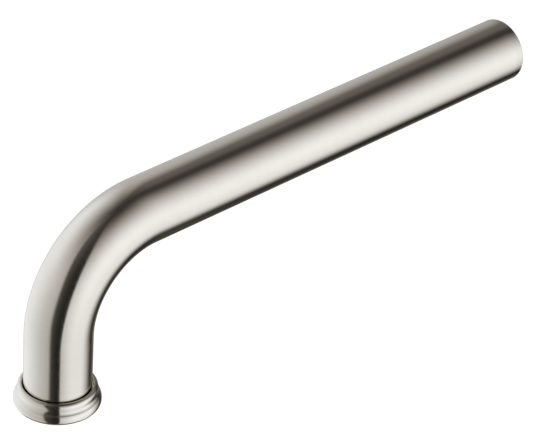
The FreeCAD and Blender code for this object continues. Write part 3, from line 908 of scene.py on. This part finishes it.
def diffuser_disc():
    """Disc with three rings of holes and a low cone on the middle of its top."""
    bottom, top = node_span("diffuser_disc")
    cone_r, cone_rise = 2.2, 1.2
    rings = ((3.2, 10), (5.1, 16), (7.0, 22))
    hole_r, margin = 0.6, 0.9
    widest = rings[-1][0] + hole_r + margin
    holes = []
    for radius, count in rings:
        share = radius * STACK_R / widest
        holes += [round_hole(x, y, hole_r) for x, y in circle(0, 0, share, count)]
    return plate("diffuser_disc_visual", "diffuser_disc", holes, bottom, top - cone_rise, acetal,
                 0.08, cap=(cone_r, cone_rise))


def wire(points, radius, sides, verts, faces):
    """A round wire along the points, closed at both ends."""
    first = len(verts)
    count = len(points)
    for i, here in enumerate(points):
        ahead = points[min(i + 1, count - 1)] - points[max(i - 1, 0)]
        side = ahead.cross(Vector((0, 0, 1))).normalized()
        up = side.cross(ahead).normalized()
        for k in range(sides):
            turn = TAU * k / sides
            verts.append(here + radius * (math.cos(turn) * side + math.sin(turn) * up))
    for i in range(count - 1):
        faces += between(ring(i, sides, first), ring(i + 1, sides, first))
    faces.append(tuple(ring(0, sides, first)))
    faces.append(tuple(ring(count - 1, sides, first))[::-1])


def mesh_screen(node):
    """Plain weave of round wire held in a pressed rim."""
    bottom, top = node_span(node)
    middle, half = (bottom + top) / 2, (top - bottom) / 2
    wire_r, pitch = half / 2 - 0.005, 0.82
    rim = STACK_R - RIM_WIDTH
    verts, faces = [], []
    outline = rounded([(rim, bottom), (STACK_R, bottom), (STACK_R, top), (rim, top)], 0.12, 4)
    segments = DISC_SIDES
    for r, h in outline:
        verts += [Vector(on_outlet_axis(r, TAU * k / segments, h)) for k in range(segments)]
    count = len(outline)
    for i in range(count):
        faces += between(ring(i, segments), ring((i + 1) % count, segments))
    reach = rim + 0.25
    for across in (False, True):
        lines = int(reach / pitch)
        for line in range(-lines, lines + 1):
            offset = line * pitch
            chord = math.sqrt(reach ** 2 - offset ** 2)
            points = []
            for along in spaced(-chord, chord, pitch / 4):
                phase = math.cos(math.pi * (along / pitch + line + (1 if across else 0)))
                h = middle + wire_r * phase
                x, y = (offset, along) if across else (along, offset)
                points.append(Vector((x, y - REACH, OUTLET_Z + h)))
            wire(points, wire_r, 6, verts, faces)
    piece = finish_mesh(f"{node}_visual", verts, faces, steel, "collar", (node,), sharp=80)
    one_way(piece)
    return piece


def retaining_ring():
    """Open ring of round wire with rounded ends."""
    bottom, top = node_span("retaining_ring")
    section = (top - bottom) / 2
    middle_r = node_box("retaining_ring")[1].x - section
    middle_h = (bottom + top) / 2
    gap, sides = 24.0, 20
    sweep = math.radians(360 - gap)
    tip = section / middle_r
    rounds = [math.radians(v) for v in (8, 25, 45, 65, 90)]
    stations = [(tip * (1 - math.cos(t)), math.sin(t)) for t in rounds]
    marks = stations + [(a, 1.0) for a in spaced(tip, sweep - tip, 0.04)[1:-1]]
    marks += [(sweep - a, scale) for a, scale in stations[::-1]]
    verts, faces = [], []
    for turn, scale in marks:
        for k in range(sides):
            around = TAU * k / sides
            verts.append(on_outlet_axis(middle_r + scale * section * math.cos(around), turn,
                                        middle_h + scale * section * math.sin(around)))
    for i in range(len(marks) - 1):
        faces += between(ring(i, sides), ring(i + 1, sides))
    faces.append(tuple(ring(0, sides)))
    faces.append(tuple(ring(len(marks) - 1, sides))[::-1])
    piece = finish_mesh("retaining_ring_visual", verts, faces, steel, "collar",
                        ("retaining_ring",), sharp=80)
    one_way(piece)
    return piece


spout_tube()
outlet_collar()
wall_adapter()
wall_gasket()
set_screw()
o_rings()
outlet_nipple()
plain_ring("outlet_washer_visual", "outlet_washer", SPIGOT_R - WASHER_WIDTH, rubber, "washer",
           0.35)
insert_shell()
honeycomb_grid()
diffuser_disc()
mesh_screen("mesh_screen_lower")
mesh_screen("mesh_screen_upper")
plain_ring("screen_spacer_visual", "screen_spacer", STACK_R - RIM_WIDTH, acetal, "collar",
           0.12)
retaining_ring()

# ---------------------------------------------------------------- materials of the nodes that stay

for node, material in {"inlet_bushing": bare_brass, "dome_strainer": pressed_steel}.items():
    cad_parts[node].data.materials.clear()
    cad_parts[node].data.materials.append(material)

# ---------------------------------------------------------------- studio


def studio_world():
    """Two large soft boxes, one each side, a dark gap between them in front, and a dark ceiling."""
    world = bpy.data.worlds.new("studio")
    bpy.context.scene.world = world
    world.use_nodes = True
    tree = world.node_tree
    tree.nodes.clear()

    def add(kind, **values):
        node = tree.nodes.new(kind)
        for key, value in values.items():
            setattr(node, key, value)
        return node

    def put(socket, value):
        if isinstance(value, (int, float)):
            socket.default_value = value
        else:
            tree.links.new(value, socket)

    def maths(operation, *values):
        node = add("ShaderNodeMath", operation=operation)
        for socket, value in zip(node.inputs, values):
            put(socket, value)
        return node.outputs[0]

    def step(source, low, high, to_low=0.0, to_high=1.0):
        node = add("ShaderNodeMapRange", interpolation_type="SMOOTHSTEP")
        for key, value in (("Value", source), ("From Min", low), ("From Max", high),
                           ("To Min", to_low), ("To Max", to_high)):
            put(node.inputs[key], value)
        return node.outputs["Result"]

    direction = add("ShaderNodeTexCoord").outputs["Generated"]
    parts = add("ShaderNodeSeparateXYZ")
    tree.links.new(direction, parts.inputs[0])
    x, y, z = parts.outputs
    degrees = 180 / math.pi
    azimuth = maths("MULTIPLY", maths("ARCTAN2", x, maths("MULTIPLY", y, -1.0)), degrees)
    elevation = maths("MULTIPLY", maths("ARCSINE", z), degrees)

    # Angles are in degrees. Azimuth 0 is in front of the spout and 90 is on its right.
    # Left box: from behind on the left to the dark gap, dimmer towards the gap. Its edge leans with height.
    slanted = maths("ADD", azimuth, step(elevation, 5, 60, 0, 11))
    slanted = maths("ADD", slanted, step(elevation, -8, -28, 0, -3.0))
    behind = maths("ADD", step(azimuth, -175, -153, 0.02, 0.155), step(azimuth, -146, -126, 0.0, 0.385))
    behind = maths("ADD", behind, step(azimuth, -124, -96, 0.0, 0.46))
    behind = maths("MULTIPLY", behind, step(azimuth, -110, -55, 0.9, 1.0))
    fade = maths("POWER", step(azimuth, 50, -95), 0.8)
    left = maths("MULTIPLY", maths("MULTIPLY_ADD", fade, 0.86, 0.34), behind)
    left = maths("MULTIPLY", left, step(slanted, 24, 12.5))
    left = maths("MULTIPLY", left, step(elevation, 94, 16))
    # right box, from the gap round to behind on the right
    past = maths("WRAP", azimuth, 240, -120)
    past = maths("ADD", past, step(elevation, -10, 25, 0.0, 3.5))
    past = maths("ADD", past, step(elevation, -30, -52, 0.0, 13.0))
    right = maths("MULTIPLY", step(azimuth, 54.6, 58.4), step(past, 185, 131))
    right = maths("MULTIPLY", right, step(elevation, -45, -5, 0.84, 1.0))
    grow = step(azimuth, 40, 100)
    right = maths("MULTIPLY", right, maths("MULTIPLY_ADD", grow, 0.60, 0.71))
    right = maths("MULTIPLY", right, step(elevation, 81, -5))
    boxes = maths("ADD", left, right)
    boxes = maths("MULTIPLY", boxes, step(elevation, -56, -42))
    # a little light comes back up from the floor, least of it in front
    turned_away = maths("ABSOLUTE", maths("SUBTRACT", azimuth, 15))
    under = maths("MULTIPLY", step(elevation, -50, -62), step(turned_away, 20, 70, 0.045, 0.11))
    under = maths("ADD", under, step(elevation, -56, -75, 0.0, 0.10))
    # the gap is darkest beside the right box
    gap = maths("MULTIPLY", step(azimuth, 46, 18), step(azimuth, -20, 18))
    level = maths("ADD", boxes, maths("MULTIPLY_ADD", gap, 0.052, 0.022))
    level = maths("ADD", level, step(elevation, 20, 60, 0.0, 0.024))
    level = maths("ADD", level, under)

    tint = add("ShaderNodeValToRGB")
    tree.links.new(level, tint.inputs["Fac"])
    low, high = tint.color_ramp.elements
    low.position, low.color = 0.05, (1.06, 1.0, 0.93, 1)
    high.position, high.color = 0.95, (0.96, 1.0, 1.06, 1)
    seen = add("ShaderNodeBackground")
    tree.links.new(tint.outputs["Color"], seen.inputs["Color"])
    tree.links.new(level, seen.inputs["Strength"])
    backdrop = add("ShaderNodeBackground")
    backdrop.inputs["Color"].default_value = (1, 1, 1, 1)
    backdrop.inputs["Strength"].default_value = 1.0
    path = add("ShaderNodeLightPath")
    mix = add("ShaderNodeMixShader")
    tree.links.new(path.outputs["Is Camera Ray"], mix.inputs["Fac"])
    tree.links.new(seen.outputs[0], mix.inputs[1])
    tree.links.new(backdrop.outputs[0], mix.inputs[2])
    out = add("ShaderNodeOutputWorld")
    tree.links.new(mix.outputs[0], out.inputs["Surface"])


def studio_floor():
    """A wide pale floor well below the spout. It shows from above only."""
    half, height = 3.0, -0.45  # in metres
    mesh = bpy.data.meshes.new("studio_floor")
    corners = [(-half, -half, height), (half, -half, height), (half, half, height), (-half, half, height)]
    mesh.from_pydata(corners, [], [(0, 1, 2, 3)])
    floor = bpy.data.objects.new("studio_floor", mesh)
    bpy.context.scene.collection.objects.link(floor)
    n = Nodes("pale_floor")
    n.put("Base Color", (0.8, 0.8, 0.8, 1))
    n.put("Roughness", 0.9)
    n.put("Emission Color", (1, 1, 1, 1))
    n.put("Emission Strength", 0.75)
    clear = n.add("ShaderNodeBsdfTransparent")
    sides = n.add("ShaderNodeMixShader")
    n.link(n.add("ShaderNodeNewGeometry").outputs["Backfacing"], sides.inputs["Fac"])
    n.link(n.shader.outputs[0], sides.inputs[1])
    n.link(clear.outputs[0], sides.inputs[2])
    n.link(sides.outputs[0], n.tree.nodes["Material Output"].inputs["Surface"])
    mesh.materials.append(n.material)
    floor.visible_glossy = False


CAMERA_ANGLES = (44.50, 32.99, -3.87)  # azimuth, elevation and roll in degrees
CAMERA_DISTANCE = 90.6  # from the origin, in tube radii
CAMERA_SHIFT = (7.393, 5.411, 0)  # of the origin in the picture, in tube radii
CAMERA_SCALE = 31.564  # pixels to a tube radius at the origin
SENSOR_WIDTH = 36.0
PICTURE_WIDTH = 533


def camera():
    """Long lens, from the front right and above the spout, and tilted a little."""
    azimuth, elevation, roll = (math.radians(v) for v in CAMERA_ANGLES)
    distance = CAMERA_DISTANCE * TUBE_R * MM
    shift = Vector(CAMERA_SHIFT) * TUBE_R * MM
    back = Vector((math.sin(azimuth) * math.cos(elevation), -math.cos(azimuth) * math.cos(elevation),
                   math.sin(elevation)))
    right = Vector((math.cos(azimuth), math.sin(azimuth), 0))
    up = back.cross(right)
    turned_right = math.cos(roll) * right - math.sin(roll) * up
    turned_up = math.sin(roll) * right + math.cos(roll) * up
    place = -(shift.x * turned_right + shift.y * turned_up - distance * back)
    data = bpy.data.cameras.new("camera")
    data.sensor_width = SENSOR_WIDTH
    data.lens = SENSOR_WIDTH * CAMERA_SCALE * CAMERA_DISTANCE / PICTURE_WIDTH
    data.clip_start, data.clip_end = 0.01, 20
    cam = bpy.data.objects.new("camera", data)
    cam.matrix_world = Matrix((
        (turned_right.x, turned_up.x, back.x, place.x),
        (turned_right.y, turned_up.y, back.y, place.y),
        (turned_right.z, turned_up.z, back.z, place.z),
        (0, 0, 0, 1)))
    bpy.context.scene.collection.objects.link(cam)
    bpy.context.scene.camera = cam


studio_world()
studio_floor()
camera()
bpy.context.scene.view_settings.view_transform = "Standard"
